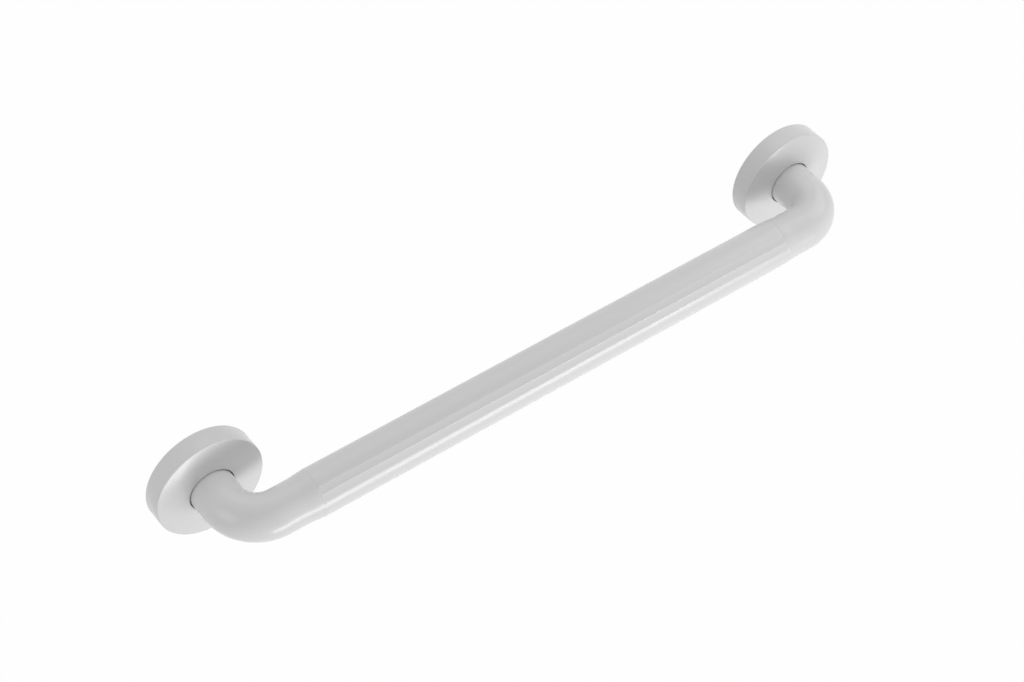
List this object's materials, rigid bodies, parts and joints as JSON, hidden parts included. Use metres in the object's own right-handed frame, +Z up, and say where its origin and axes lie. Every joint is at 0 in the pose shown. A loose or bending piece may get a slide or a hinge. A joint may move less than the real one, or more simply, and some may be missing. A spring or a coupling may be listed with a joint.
{
  "type": "wall grab bar",
  "caption": "Straight wall grab bar with a fluted grip sleeve over a metal core tube, moulded elbows, round base plates and sliding cover roses.",
  "frame": {"origin": "centre of the left base plate's back face, where it meets the wall", "axes": "+X along the bar to the right flange, +Y into the wall, -Y to the user, +Z up"},
  "size_m": [0.5808, 0.0775, 0.081],
  "materials": {
    "sleeve_plastic": "glossy extruded white plastic",
    "elbow_plastic": "glossy moulded white plastic",
    "cover_plastic": "glossy moulded white plastic",
    "plate_plastic": "satin glass-filled white plastic",
    "core_aluminium": "mill finish extruded tube",
    "screw_steel": "stainless steel",
    "insert_brass": "turned brass"
  },
  "bodies": {
    "rail": {"fluted_grip_sleeve": "sleeve_plastic", "core_tube": "core_aluminium", "left_elbow": "elbow_plastic", "left_base_plate": "plate_plastic", "left_foot_screw_1": "screw_steel", "left_foot_screw_2": "screw_steel", "left_foot_screw_3": "screw_steel", "left_foot_insert_1": "insert_brass", "left_foot_insert_2": "insert_brass", "left_foot_insert_3": "insert_brass", "right_elbow": "elbow_plastic", "right_base_plate": "plate_plastic", "right_foot_screw_1": "screw_steel", "right_foot_screw_2": "screw_steel", "right_foot_screw_3": "screw_steel", "right_foot_insert_1": "insert_brass", "right_foot_insert_2": "insert_brass", "right_foot_insert_3": "insert_brass"},
    "left_cover": {"left_cover": "cover_plastic"},
    "right_cover": {"right_cover": "cover_plastic"}
  },
  "joints": [
    {"name": "left_cover_slide", "type": "slide", "parent": "rail", "child": "left_cover", "axis": [0, -1, 0], "range_m": [0, 0.018]},
    {"name": "right_cover_slide", "type": "slide", "parent": "rail", "child": "right_cover", "axis": [0, -1, 0], "range_m": [0, 0.018]}
  ]
}
